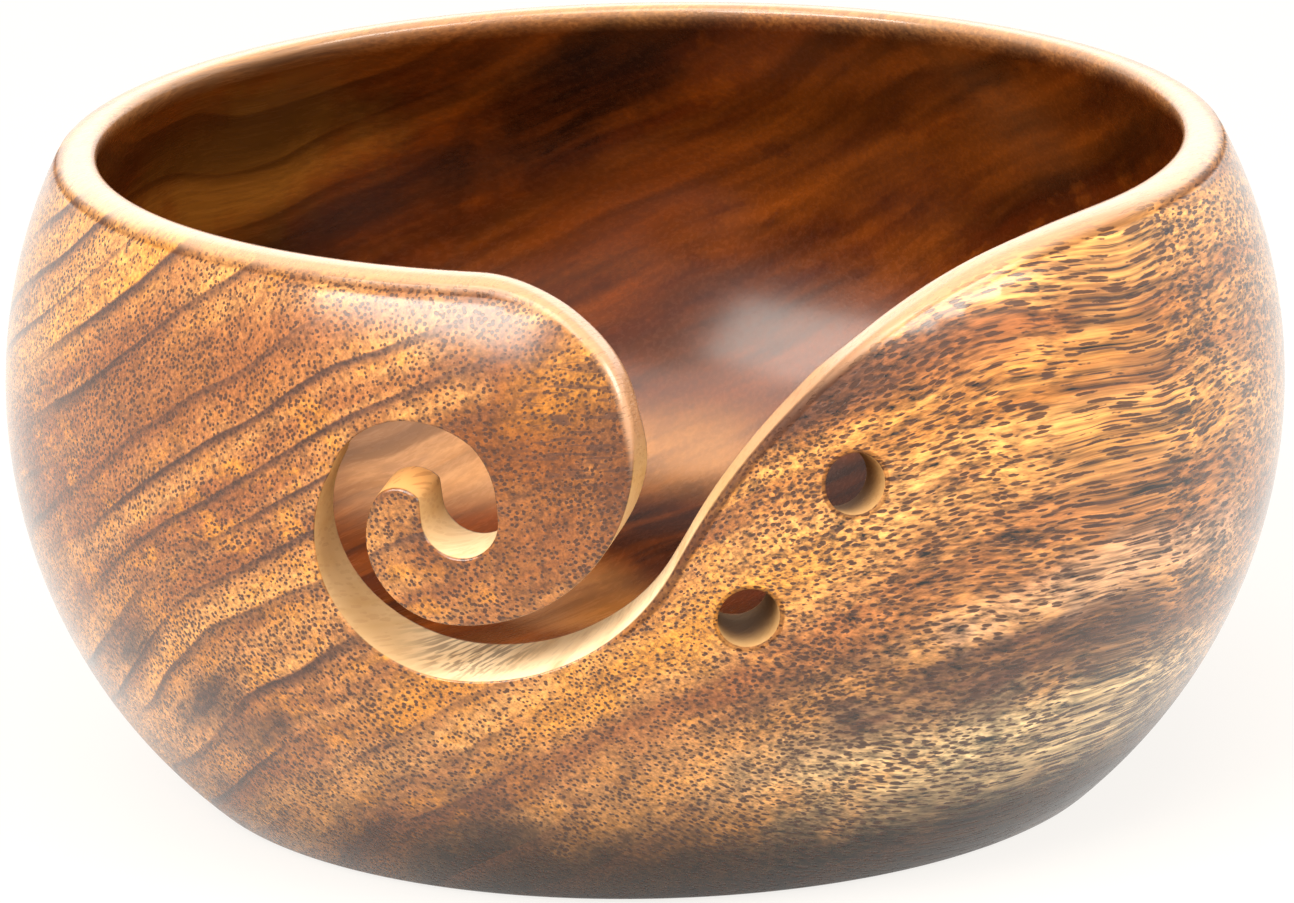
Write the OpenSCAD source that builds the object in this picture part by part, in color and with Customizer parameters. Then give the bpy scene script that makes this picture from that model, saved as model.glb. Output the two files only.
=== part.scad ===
// Wooden yarn bowl, turned from one block, with a scroll-shaped yarn slot and two needle holes.
// Millimetres, +Z up. The origin is the centre of the foot, and the slot faces -Y.

/* [Bowl] */
// Diameter at the belly, the widest ring
bowl_d = 152; // [136:1:168]
// Height from the foot to the top of the rim
bowl_h = 77; // [68:1:92]
// Drop from the top of the rim down to the belly
belly_drop = 30; // [24:1:34]
// Diameter of the flat foot
foot_d = 109.5; // [90:0.5:120]
// Radius of the eased edge round the foot
foot_edge_r = 1.5; // [0.5:0.1:4]

/* [Wall] */
// Width of the rim, from the outer wall to the hollow
rim_w = 5.2; // [4:0.1:8]
// Thickness of the wall at the belly
wall_t = 7.6; // [5.5:0.1:10]
// Thickness of the floor
floor_t = 9; // [6:0.5:12]
// Radius of the rim's outer edge
rim_outer_r = 1.2; // [0.6:0.1:1.4]
// Radius of the rim's inner edge
rim_inner_r = 1.8; // [1:0.1:2]

/* [Slot mouth] */
// Sideways place of the hook's edge at the throat, where the mouth turns into the channel
throat_x = -4.3; // [-10:0.1:4]
// Drop from the top of the rim down to the throat
throat_drop = 28; // [22:0.5:30]
// Slope of the throat's walls above the horizontal, in degrees
throat_slope = 60; // [57:1:68]
// Width of the throat
throat_w = 7.6; // [6:0.1:10]
// Length of the straight stretch at the foot of the flank, right of the throat
flank_run = 3; // [2:0.1:9]
// Turn of the hook's round edge above the throat, in degrees
brow_turn = 46; // [40:1:60]
// Height above the top of the rim at which the mouth's two lips run level
lip_rise = 0.4; // [0.3:0.1:0.8]

/* [Slot channel] */
// Width of the channel below the hook
channel_w = 6.9; // [5.5:0.1:8]
// Width of the channel left of the tongue
crook_w = 5.5; // [5:0.1:7]
// Width of the eye, the channel's blunt end
eye_w = 8.6; // [6:0.1:10]
// Radius of the hook's edge
hook_r = 20.4; // [18:0.1:23]
// Turn of the channel below the hook, in degrees
hook_turn = 61; // [55:1:67]
// Radius of the tongue's left side
crook_r = 9.5; // [8:0.1:11.5]
// Turn of the channel left of the tongue, in degrees
crook_turn = 117; // [108:1:124]
// Radius of the tongue's tip
tip_r = 3; // [2:0.1:4.5]
// Turn of the channel over the tongue's tip, in degrees
tip_turn = 108; // [98:1:116]
// Radius of the tongue's inner corner
nose_r = 0.7; // [0.4:0.1:2]
// Turn round the tongue's inner corner, in degrees
nose_turn = 40; // [30:1:50]
// Length of the tongue's inner side
eye_run = 2.2; // [0.5:0.1:5]

/* [Saw cut] */
// Sideways lean of the cut round the hook, in degrees
hook_swing = 17; // [0:1:24]
// Sideways lean of the cut on the tongue's inner side, in degrees
tongue_swing = 22; // [10:1:28]
// Sideways lean of the cut at the flank's foot, in degrees
throat_swing = 5; // [-5:1:15]
// Sideways lean of the cut where the flank meets the rim, in degrees
flank_swing = -12; // [-30:1:0]
// Rise of the cut from the outside to the inside, in degrees, fading to level up the hook
saw_rise = 8; // [0:1:12]

/* [Needle holes] */
// Diameter of the holes
hole_d = 7; // [4:0.1:9]
// Angle of the lower hole round the bowl from the front, in degrees
low_hole_angle = 8.3; // [7:0.1:20]
// Drop from the top of the rim down to the lower hole
low_hole_drop = 37.4; // [34:0.1:48]
// Angle of the upper hole round the bowl from the front, in degrees
high_hole_angle = 17.8; // [16:0.1:30]
// Drop from the top of the rim down to the upper hole
high_hole_drop = 22.9; // [21:0.1:28]

/* [Hidden] */
$fn = 180;

// The outer wall is one arc, upright at the belly and ending on the foot
belly_r = bowl_d / 2;
foot_r = foot_d / 2;
belly_z = bowl_h - belly_drop;
belly_overhang = belly_r - foot_r;
wall_r = (belly_overhang ^ 2 + belly_z ^ 2) / (2 * belly_overhang);
wall_centre = [belly_r - wall_r, belly_z];
function wall_radius(z) = wall_centre.x + sqrt(wall_r ^ 2 - (z - wall_centre.y) ^ 2);
rim_r = wall_radius(bowl_h);

// The hollow is one arc that runs level into the floor, through the wall's inside at the belly and the rim
belly_inside = [belly_r - wall_t, belly_z];
rim_inside = [rim_r - rim_w, bowl_h];
belly_k = 1 / (belly_inside.y - floor_t);
rim_k = 1 / (rim_inside.y - floor_t);
half_b = belly_k * belly_inside.x - rim_k * rim_inside.x;
term_c = belly_k * belly_inside.x ^ 2 - rim_k * rim_inside.x ^ 2 + belly_inside.y - rim_inside.y;
hollow_x = (half_b - sqrt(half_b ^ 2 - (belly_k - rim_k) * term_c)) / (belly_k - rim_k);
hollow_z = (belly_k * (belly_inside.x - hollow_x) ^ 2 + belly_inside.y + floor_t) / 2;
hollow_r = hollow_z - floor_t;
hollow_centre = [hollow_x, hollow_z];

// Centres of the round edges, which touch the flat and the arc that meet there
foot_edge = [
    wall_centre.x + sqrt((wall_r - foot_edge_r) ^ 2 - (belly_z - foot_edge_r) ^ 2),
    foot_edge_r
];
rim_outer = [
    wall_centre.x + sqrt((wall_r - rim_outer_r) ^ 2 - (belly_drop - rim_outer_r) ^ 2),
    bowl_h - rim_outer_r
];
rim_inner = [
    hollow_x + sqrt((hollow_r + rim_inner_r) ^ 2 - (bowl_h - rim_inner_r - hollow_z) ^ 2),
    bowl_h - rim_inner_r
];

// Reach of the cutters outside the wall and inside it, with room to spare
spare = 3;
cut_out = bowl_d / 8;
cut_in = 2 * wall_t + spare;

// Fineness of the slot's outline
arc_step = 5;
brow_steps = 8;
lip_steps = 14;
blunt_end = 80;

function unit(v) = v / norm(v);
function ahead(heading) = [cos(heading), sin(heading)];
function beside(heading) = [-sin(heading), cos(heading)];

// Point of the outer wall behind a point of the slot's front view
function on_wall(p) = [p.x, -sqrt(wall_radius(p.y) ^ 2 - p.x ^ 2), p.y];

// Way that the saw runs through the wall, from the outside to the inside
function saw_way(swing, rise) = [cos(rise) * sin(swing), cos(rise) * cos(swing), sin(rise)];

// The channel turns right all the way in: radius of its inner side and turn, then the width
// and the lean of its inner and outer side at the arc's end
channel_arcs = [
    [hook_r, hook_turn, [channel_w, hook_swing, hook_swing]],
    [crook_r, crook_turn, [crook_w, hook_swing, hook_swing]],
    [tip_r, tip_turn, [eye_w, tongue_swing, hook_swing]],
    [nose_r, nose_turn, [eye_w, tongue_swing, hook_swing]]
];

// A station is the two sides of the slot in the front view, then the lean of the cut at each
// and the rise of the cut at each
function station(p, heading, cut) =
    [p, p + cut[0] * beside(heading), cut[1], cut[2], saw_rise, saw_rise];

function channel(i, p, heading, cut) =
    i == len(channel_arcs) ? blunt_eye(p, heading) :
    let (
        arc = channel_arcs[i],
        steps = ceil(arc[1] / arc_step),
        centre = p - arc[0] * beside(heading),
        last = heading - arc[1]
    )
    concat(
        [for (k = [1:steps])
            let (t = k / steps, now = heading - t * arc[1])
            station(centre + arc[0] * beside(now), now, cut + t * (arc[2] - cut))],
        channel(i + 1, centre + arc[0] * beside(last), last, arc[2])
    );

// The eye's round end, with both sides closing on its centre line
function blunt_eye(p, heading) =
    let (centre = p + eye_run * ahead(heading) + eye_w / 2 * beside(heading))
    [for (a = [0:arc_step * 2:blunt_end])
        let (
            middle = centre + eye_w / 2 * sin(a) * ahead(heading),
            half = eye_w / 2 * cos(a) * beside(heading)
        )
        [middle - half, middle + half, tongue_swing, hook_swing, saw_rise, saw_rise]];

throat_heading = throat_slope - 180;
throat = [throat_x, bowl_h - throat_drop];
throat_far = throat + throat_w * beside(throat_heading);
lip_z = bowl_h + lip_rise;

// Left of the mouth: the hook's round edge, then an arc that runs level at the rim
brow_centre = throat - hook_r * beside(throat_heading);
brow_heading = throat_heading + brow_turn;
brow_top = brow_centre + hook_r * beside(brow_heading);
left_lip_r = (lip_z - brow_top.y) / (1 - cos(brow_heading));
left_lip_centre = brow_top - left_lip_r * beside(brow_heading);

// Right of the mouth: the straight foot of the flank, then an arc that runs level at the rim
flank_top = throat_far + flank_run * ahead(throat_slope);
right_lip_r = (lip_z - flank_top.y) / (1 - cos(throat_slope));
right_lip_centre = flank_top - right_lip_r * beside(throat_slope);

// Stations of the mouth, from above the rim down to the throat
lips = [for (k = [lip_steps:-1:1])
    let (t = k / lip_steps)
    [
        left_lip_centre + left_lip_r * beside(brow_heading * (1 - t)),
        right_lip_centre + right_lip_r * beside(throat_slope * (1 - t)),
        hook_swing,
        throat_swing + t * (flank_swing - throat_swing),
        0,
        saw_rise
    ]];
above_rim = concat([for (k = [0, 1]) lips[0][k] + [0, spare]], [for (k = [2:5]) lips[0][k]]);
brow = [for (k = [brow_steps:-1:0])
    let (t = k / brow_steps)
    [
        brow_centre + hook_r * beside(throat_heading + t * brow_turn),
        throat_far + t * flank_run * ahead(throat_slope),
        hook_swing,
        throat_swing,
        saw_rise * (1 - t),
        saw_rise
    ]];
stations = concat(
    [above_rim],
    lips,
    brow,
    channel(0, throat, throat_heading, [throat_w, hook_swing, throat_swing])
);

// Loft through one four-cornered ring per station, outside left, outside right, inside right, inside left
module yarn_slot() {
    ring = 4;
    last = ring * (len(stations) - 1);
    points = [for (s = stations)
        let (
            left = on_wall(s[0]),
            right = on_wall(s[1]),
            left_way = saw_way(s[2], s[4]),
            right_way = saw_way(s[3], s[5])
        )
        each [
            left - cut_out * left_way,
            right - cut_out * right_way,
            right + cut_in * right_way,
            left + cut_in * left_way
        ]];
    sides = [for (i = [0:ring:last - ring], k = [0:ring - 1])
        let (a = i + k, b = i + (k + 1) % ring)
        each [[a, b, b + ring], [a, b + ring, a + ring]]];
    ends = [[0, 2, 1], [0, 3, 2], [last, last + 1, last + 2], [last, last + 2, last + 3]];
    polyhedron(points, concat(sides, ends));
}

// Needle hole drilled square to the outer wall
module needle_hole(angle, drop) {
    rise = asin((belly_drop - drop) / wall_r);
    rotate([0, 0, angle])
        translate([0, -wall_centre.x, wall_centre.y])
            rotate([90 - rise, 0, 0])
                translate([0, 0, wall_r - cut_in])
                    cylinder(d = hole_d, h = cut_in + spare);
}

// Waste outside a round edge, from the first to the last of the ways that lead out from its centre
module edge_waste(centre, radius, ways) {
    reach = 4 * radius;
    difference() {
        polygon([centre, for (way = ways) centre + reach * way]);
        translate(centre) circle(radius);
    }
}

// Half section of the bowl, from its axis out
module wall_section() {
    up = [0, 1];
    down = [0, -1];
    to_foot = unit(foot_edge - wall_centre);
    to_rim = unit(rim_outer - wall_centre);
    to_hollow = unit(hollow_centre - rim_inner);
    difference() {
        intersection() {
            translate(wall_centre) circle(wall_r);
            square([belly_r, bowl_h]);
        }
        translate(hollow_centre) circle(hollow_r);
        translate([-spare, floor_t]) square([hollow_x + spare, bowl_h]);
        edge_waste(foot_edge, foot_edge_r, [to_foot, to_foot + down, down]);
        edge_waste(rim_outer, rim_outer_r, [to_rim, to_rim + up, up]);
        edge_waste(rim_inner, rim_inner_r, [up, up + to_hollow, to_hollow]);
    }
}

module bowl() {
    color("peru")
        difference() {
            rotate_extrude() wall_section();
            yarn_slot();
            needle_hole(low_hole_angle, low_hole_drop);
            needle_hole(high_hole_angle, high_hole_drop);
        }
}

bowl();
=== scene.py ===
"""Wooden yarn bowl on a pale studio floor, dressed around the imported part."""

import math

import bpy
import numpy as np
from mathutils import Matrix, Vector, kdtree, noise
from mathutils.geometry import delaunay_2d_cdt


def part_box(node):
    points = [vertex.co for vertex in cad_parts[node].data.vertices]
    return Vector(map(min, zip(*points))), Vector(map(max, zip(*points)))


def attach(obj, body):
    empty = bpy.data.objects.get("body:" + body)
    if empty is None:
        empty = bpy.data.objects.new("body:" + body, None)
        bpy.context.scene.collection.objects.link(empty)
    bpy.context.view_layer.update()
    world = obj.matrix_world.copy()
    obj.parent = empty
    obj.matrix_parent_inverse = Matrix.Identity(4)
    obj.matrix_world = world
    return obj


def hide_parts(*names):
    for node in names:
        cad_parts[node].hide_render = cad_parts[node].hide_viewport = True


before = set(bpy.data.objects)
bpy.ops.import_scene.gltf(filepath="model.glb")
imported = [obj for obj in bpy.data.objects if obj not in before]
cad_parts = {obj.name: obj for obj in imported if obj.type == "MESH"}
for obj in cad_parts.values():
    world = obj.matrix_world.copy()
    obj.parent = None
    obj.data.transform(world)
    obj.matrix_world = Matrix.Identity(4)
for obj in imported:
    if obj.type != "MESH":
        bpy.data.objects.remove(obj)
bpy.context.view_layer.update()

bl_info = {
    "name": "Yarn bowl",
    "version": (1, 0, 0),
    "blender": (4, 5, 0),
    "location": "View3D > Sidebar > Yarn bowl",
    "description": "Turned wooden yarn bowl with a scroll-shaped yarn slot and two needle holes",
    "category": "Add Mesh",
}

MM = 0.001
BOWL_LOW, BOWL_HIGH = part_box("bowl")


def length(name, description, millimetres):
    return bpy.props.FloatProperty(
        name=name, description=description, default=millimetres * MM,
        subtype="DISTANCE", unit="LENGTH", precision=4)


def angle(name, description, degrees):
    return bpy.props.FloatProperty(
        name=name, description=description, default=math.radians(degrees),
        subtype="ANGLE", unit="ROTATION")


def linear(red, green, blue):
    """Linear colour of a display colour given from 0 to 255."""
    def one(v):
        v /= 255
        return v / 12.92 if v <= 0.04045 else ((v + 0.055) / 1.055) ** 2.4
    return one(red), one(green), one(blue), 1.0


def colour(name, description, red, green, blue):
    return bpy.props.FloatVectorProperty(
        name=name, description=description, default=linear(red, green, blue),
        size=4, min=0, max=1, subtype="COLOR")


class YarnBowlSizes(bpy.types.PropertyGroup):
    """Sizes of the bowl, the same as in the solid part."""
    diameter: length("Diameter", "Diameter at the belly", (BOWL_HIGH.x - BOWL_LOW.x) / MM)
    height: length("Height", "Height to the crown of the rim", BOWL_HIGH.z / MM)
    belly_drop: length("Belly drop", "Drop from the crown to the belly", 30)
    foot_diameter: length("Foot", "Diameter of the flat foot", 109.5)
    foot_edge: length("Foot edge", "Radius of the edge round the foot", 1.5)
    rim_width: length("Rim width", "Width of the rim from the outer wall to the hollow", 5.2)
    rim_crown: length("Rim crown", "Height of the crown above the crease", 1.6)
    wall: length("Wall", "Thickness of the wall at the belly", 7.6)
    floor: length("Floor", "Thickness of the floor", 9)
    throat_x: length("Throat place", "Sideways place of the hook's edge at the throat", -4.3)
    throat_drop: length("Throat drop", "Drop from the crown to the throat", 28)
    throat_slope: angle("Throat slope", "Slope of the throat's walls", 60)
    throat_width: length("Throat width", "Width of the throat", 7.6)
    flank_run: length("Flank run", "Straight stretch at the foot of the flank", 3)
    brow_turn: angle("Brow turn", "Turn of the hook's round edge above the throat", 46)
    lip_rise: length("Lip rise", "Height above the crown at which the lips run level", 0.4)
    channel_width: length("Channel width", "Width of the channel below the hook", 6.9)
    crook_width: length("Crook width", "Width of the channel left of the tongue", 5.5)
    eye_width: length("Eye width", "Width of the channel's blunt end", 8.6)
    hook_radius: length("Hook radius", "Radius of the hook's edge", 20.4)
    hook_turn: angle("Hook turn", "Turn of the channel below the hook", 61)
    crook_radius: length("Crook radius", "Radius of the tongue's left side", 9.5)
    crook_turn: angle("Crook turn", "Turn of the channel left of the tongue", 117)
    tip_radius: length("Tip radius", "Radius of the tongue's tip", 3)
    tip_turn: angle("Tip turn", "Turn of the channel over the tongue's tip", 108)
    nose_radius: length("Nose radius", "Radius of the tongue's inner corner", 0.7)
    nose_turn: angle("Nose turn", "Turn round the tongue's inner corner", 40)
    eye_run: length("Eye run", "Length of the tongue's inner side", 2.2)
    hook_swing: angle("Hook swing", "Sideways lean of the cut round the hook", 17)
    tongue_swing: angle("Tongue swing", "Sideways lean of the cut on the tongue's inner side", 22)
    throat_swing: angle("Throat swing", "Sideways lean of the cut at the flank's foot", 5)
    flank_swing: angle("Flank swing", "Sideways lean of the cut up the flank", -12)
    saw_rise: angle("Saw rise", "Rise of the cut from the outside to the inside", 8)
    hole_diameter: length("Hole diameter", "Diameter of the needle holes", 7)
    low_hole_angle: angle("Lower hole angle", "Angle of the lower hole from the front", 8.3)
    low_hole_drop: length("Lower hole drop", "Drop from the crown to the lower hole", 37.4)
    high_hole_angle: angle("Upper hole angle", "Angle of the upper hole from the front", 17.8)
    high_hole_drop: length("Upper hole drop", "Drop from the crown to the upper hole", 22.9)
    shoulder_sag: length("Shoulder sag", "Depth to which the hook's shoulder is sanded down", 0.6)
    slot_edge: length("Slot edge", "Rounding of the slot's edges", 0.4)
    hole_edge: length("Hole edge", "Rounding of the holes' edges", 0.3)


class YarnBowlColours(bpy.types.PropertyGroup):
    """Colours of the wood and of the stage."""
    tan: colour("Tan", "Main tone of the wood", 220, 154, 84)
    amber: colour("Amber", "Golden bands and patches", 218, 140, 34)
    honey: colour("Honey", "Golden brown of the hook", 118, 62, 10)
    chestnut: colour("Chestnut", "Red-brown bands", 146, 84, 38)
    # Umber: growth lines and bands, also painted shade in the groove under the rim, the bores and the
    # hollow
    umber: colour("Umber", "Dark growth lines and bands", 76, 46, 32)
    # Smoke: grey-brown wood low on the wall, also used for painted shade above the foot
    smoke_and_shade: colour("Smoke", "Grey-brown patches low on the wall", 28, 21, 16)
    olive: colour("Olive", "Pale olive zone low on the right", 224, 194, 142)
    pore: colour("Pore", "Open pores", 70, 38, 18)
    # Rim: the polished rim's pale tone, lightened as painted light on its upward face
    rim: colour("Rim", "Polished rim", 232, 182, 140)
    # Tint of the hollow: partly darker wood, partly painted shade
    depth: colour("Depth", "Tint of the darker hollow", 122, 86, 40)
    cream: colour("Cream", "Bare sawn wood in the slot and the holes", 246, 220, 180)
    # Sapwood: darker streaks in the bare wood, also painted shade on the upper and left cut faces and in
    # the bores
    sapwood: colour("Sapwood", "Darker streaks in the bare sawn wood", 194, 150, 92)
    studio: colour("Studio", "Floor and surroundings", 255, 252, 248)


def share(value, low, high):
    """Smooth share of the way from low to high, from 0 to 1."""
    t = min(1, max(0, (value - low) / (high - low)))
    return t * t * (3 - 2 * t)


def lerp(a, b, t):
    return a + (b - a) * t


def along(heading):
    return Vector((math.cos(heading), math.sin(heading)))


def left_of(heading):
    return Vector((-math.sin(heading), math.cos(heading)))


def bearing(p):
    """Angle round the bowl from the front, positive to the right."""
    return math.atan2(p.x, -p.y)


class TurnedArc:
    """A skin of the bowl: an arc of its section, turned round the axis. Side is -1 in the hollow."""

    def __init__(self, x, z, r, side=1):
        self.x, self.z, self.r, self.side = x, z, r, side

    def radius(self, z):
        return self.x + math.sqrt(self.r ** 2 - (z - self.z) ** 2)

    def turn(self, z):
        return math.asin((z - self.z) / self.r)

    def at(self, theta, turn):
        r = self.x + self.r * math.cos(turn)
        return Vector((r * math.sin(theta), -r * math.cos(theta), self.z + self.r * math.sin(turn)))

    def point(self, p):
        """The point of the skin at the same bearing and height."""
        return self.at(bearing(p), self.turn(p.z))

    def normal(self, p):
        turn, theta = self.turn(p.z), bearing(p)
        flat = math.cos(turn)
        return self.side * Vector((flat * math.sin(theta), -flat * math.cos(theta), math.sin(turn)))

    def reach(self, start, way, low, high):
        """Point on the way from start at which the skin is met."""
        for _ in range(50):
            mid = (low + high) / 2
            p = start + way * mid
            if math.hypot(p.x, p.y) > self.radius(p.z):
                low = mid
            else:
                high = mid
        return start + way * low

    def profile(self, first, last, steps):
        """Radii and heights along the arc, without its first point."""
        return [(self.x + self.r * math.cos(t), self.z + self.r * math.sin(t))
                for t in (lerp(first, last, k / steps) for k in range(1, steps + 1))]


def section(s):
    """Outer wall, hollow and edge of the foot, worked out as in the solid part."""
    belly_r, belly_z = s.diameter / 2, s.height - s.belly_drop
    overhang = belly_r - s.foot_diameter / 2
    wall_r = (overhang ** 2 + belly_z ** 2) / (2 * overhang)
    wall = TurnedArc(belly_r - wall_r, belly_z, wall_r)
    inside_r, rim_r = belly_r - s.wall, wall.radius(s.height) - s.rim_width
    k_in, k_rim = 1 / (belly_z - s.floor), 1 / (s.height - s.floor)
    b = k_in * inside_r - k_rim * rim_r
    c = k_in * inside_r ** 2 - k_rim * rim_r ** 2 + belly_z - s.height
    hollow_x = (b - math.sqrt(b * b - (k_in - k_rim) * c)) / (k_in - k_rim)
    hollow_z = (k_in * (inside_r - hollow_x) ** 2 + belly_z + s.floor) / 2
    hollow = TurnedArc(hollow_x, hollow_z, hollow_z - s.floor, -1)
    edge = s.foot_edge
    foot = TurnedArc(wall.x + math.sqrt((wall_r - edge) ** 2 - (belly_z - edge) ** 2), edge, edge)
    return wall, hollow, foot


def within(points, outline):
    """For each point, whether it lies inside a closed outline."""
    x, y = np.array([p[0] for p in points]), np.array([p[1] for p in points])
    result = np.zeros(len(x), bool)
    for a, b in zip(outline, outline[1:] + outline[:1]):
        if a[1] != b[1]:
            crosses = (a[1] > y) != (b[1] > y)
            result ^= crosses & (x < a[0] + (b[0] - a[0]) * (y - a[1]) / (b[1] - a[1]))
    return result


def saw_way(swing, rise):
    flat = math.cos(rise)
    return Vector((flat * math.sin(swing), flat * math.cos(swing), math.sin(rise)))


# Shares of the lips over which the cut's rise fades and its edges are sanded round
RISE_FADE = (0.7, 1)
FLANK_SANDED = (0.25, 0.5)
BROW_SANDED = (0.4, 0.9)


def slot_outline(s):
    """Outline of the slot in the front view, from the left lip round the eye to the right lip.

    Each point holds its place, the lean and rise of the cut, its share of lip, 1 at the rim,
    and its share of bare wood, 0 where the edge is sanded round and finished."""
    steps = 40
    lip_z = s.height + s.lip_rise
    heading = s.throat_slope - math.pi
    throat = Vector((s.throat_x, s.height - s.throat_drop))
    throat_far = throat + s.throat_width * left_of(heading)
    brow_centre = throat - s.hook_radius * left_of(heading)
    brow_heading = heading + s.brow_turn
    brow_top = brow_centre + s.hook_radius * left_of(brow_heading)
    left_r = (lip_z - brow_top.y) / (1 - math.cos(brow_heading))
    left_centre = brow_top - left_r * left_of(brow_heading)
    flank_top = throat_far + s.flank_run * along(s.throat_slope)
    right_r = (lip_z - flank_top.y) / (1 - math.cos(s.throat_slope))
    right_centre = flank_top - right_r * left_of(s.throat_slope)
    left, right = [], []
    for k in range(steps + 1):
        t = 1 - k / steps
        sanded = Vector((0, s.shoulder_sag * math.sin(math.pi * t) ** 2))
        left.append((left_centre + left_r * left_of(brow_heading * (1 - t)) - sanded,
                     s.hook_swing, 0, t, 0))
        right.append((right_centre + right_r * left_of(s.throat_slope * (1 - t)),
                      lerp(s.throat_swing, s.flank_swing, t),
                      s.saw_rise * (1 - share(t, *RISE_FADE)), t, 1 - share(t, *FLANK_SANDED)))
    for k in range(1, steps + 1):
        t = 1 - k / steps
        left.append((brow_centre + s.hook_radius * left_of(heading + t * s.brow_turn),
                     s.hook_swing, s.saw_rise * (1 - t), 0, 1 - share(t, *BROW_SANDED)))
        right.append((throat_far + t * s.flank_run * along(s.throat_slope),
                      s.throat_swing, s.saw_rise, 0, 1))
    place, cut = throat, (s.throat_width, s.hook_swing, s.throat_swing)
    for radius, turn, last in (
            (s.hook_radius, s.hook_turn, (s.channel_width, s.hook_swing, s.hook_swing)),
            (s.crook_radius, s.crook_turn, (s.crook_width, s.hook_swing, s.hook_swing)),
            (s.tip_radius, s.tip_turn, (s.eye_width, s.tongue_swing, s.hook_swing)),
            (s.nose_radius, s.nose_turn, (s.eye_width, s.tongue_swing, s.hook_swing))):
        centre = place - radius * left_of(heading)
        for k in range(1, steps + 1):
            t = k / steps
            now = heading - t * turn
            place = centre + radius * left_of(now)
            width, inner, outer = (lerp(a, b, t) for a, b in zip(cut, last))
            left.append((place, inner, s.saw_rise, 0, 1))
            right.append((place + width * left_of(now), outer, s.saw_rise, 0, 1))
        heading, cut = heading - turn, last
    half = s.eye_width / 2
    centre = place + s.eye_run * along(heading) + half * left_of(heading)
    middle_swing = (s.tongue_swing + s.hook_swing) / 2
    for k in range(steps + 1):
        a = math.pi / 2 * k / steps
        middle = centre + half * math.sin(a) * along(heading)
        aside = half * math.cos(a) * left_of(heading)
        left.append((middle - aside, lerp(s.tongue_swing, middle_swing, k / steps), s.saw_rise, 0, 1))
        right.append((middle + aside, lerp(s.hook_swing, middle_swing, k / steps), s.saw_rise, 0, 1))
    return left, right


def spaced(points, fine, coarse):
    """Points of a line at even spacing, fine in the slot and coarser on the lips."""
    cost = [0.0]
    for a, b in zip(points, points[1:]):
        cost.append(cost[-1] + (b[0] - a[0]).length / lerp(fine, coarse, (a[3] + b[3]) / 2))
    count = round(cost[-1])
    out, j = [], 0
    for i in range(count + 1):
        want = cost[-1] * i / count
        while j < len(cost) - 2 and cost[j + 1] < want:
            j += 1
        gap = cost[j + 1] - cost[j]
        t = (want - cost[j]) / gap if gap > 0 else 0
        a, b = points[j], points[j + 1]
        out.append((a[0].lerp(b[0], t),) + tuple(lerp(u, v, t) for u, v in zip(a[1:], b[1:])))
    return out


def curve(a, corner, b, steps):
    """Round edge from a to b under a corner, without its last point."""
    return [a * (1 - t) ** 2 + corner * (2 * t * (1 - t)) + b * t * t
            for t in (k / steps for k in range(steps))]


# Marks on the mesh, which the wood finish reads; the crease mark also carries the painted shade in the
# groove under the rim
MARKS = ("sawn", "rim", "crease", "inside")

# Angles of the points in the level rings round the axis
COLUMNS = 250
ROUND = [2 * math.pi * k / COLUMNS - math.pi for k in range(COLUMNS)]


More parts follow.
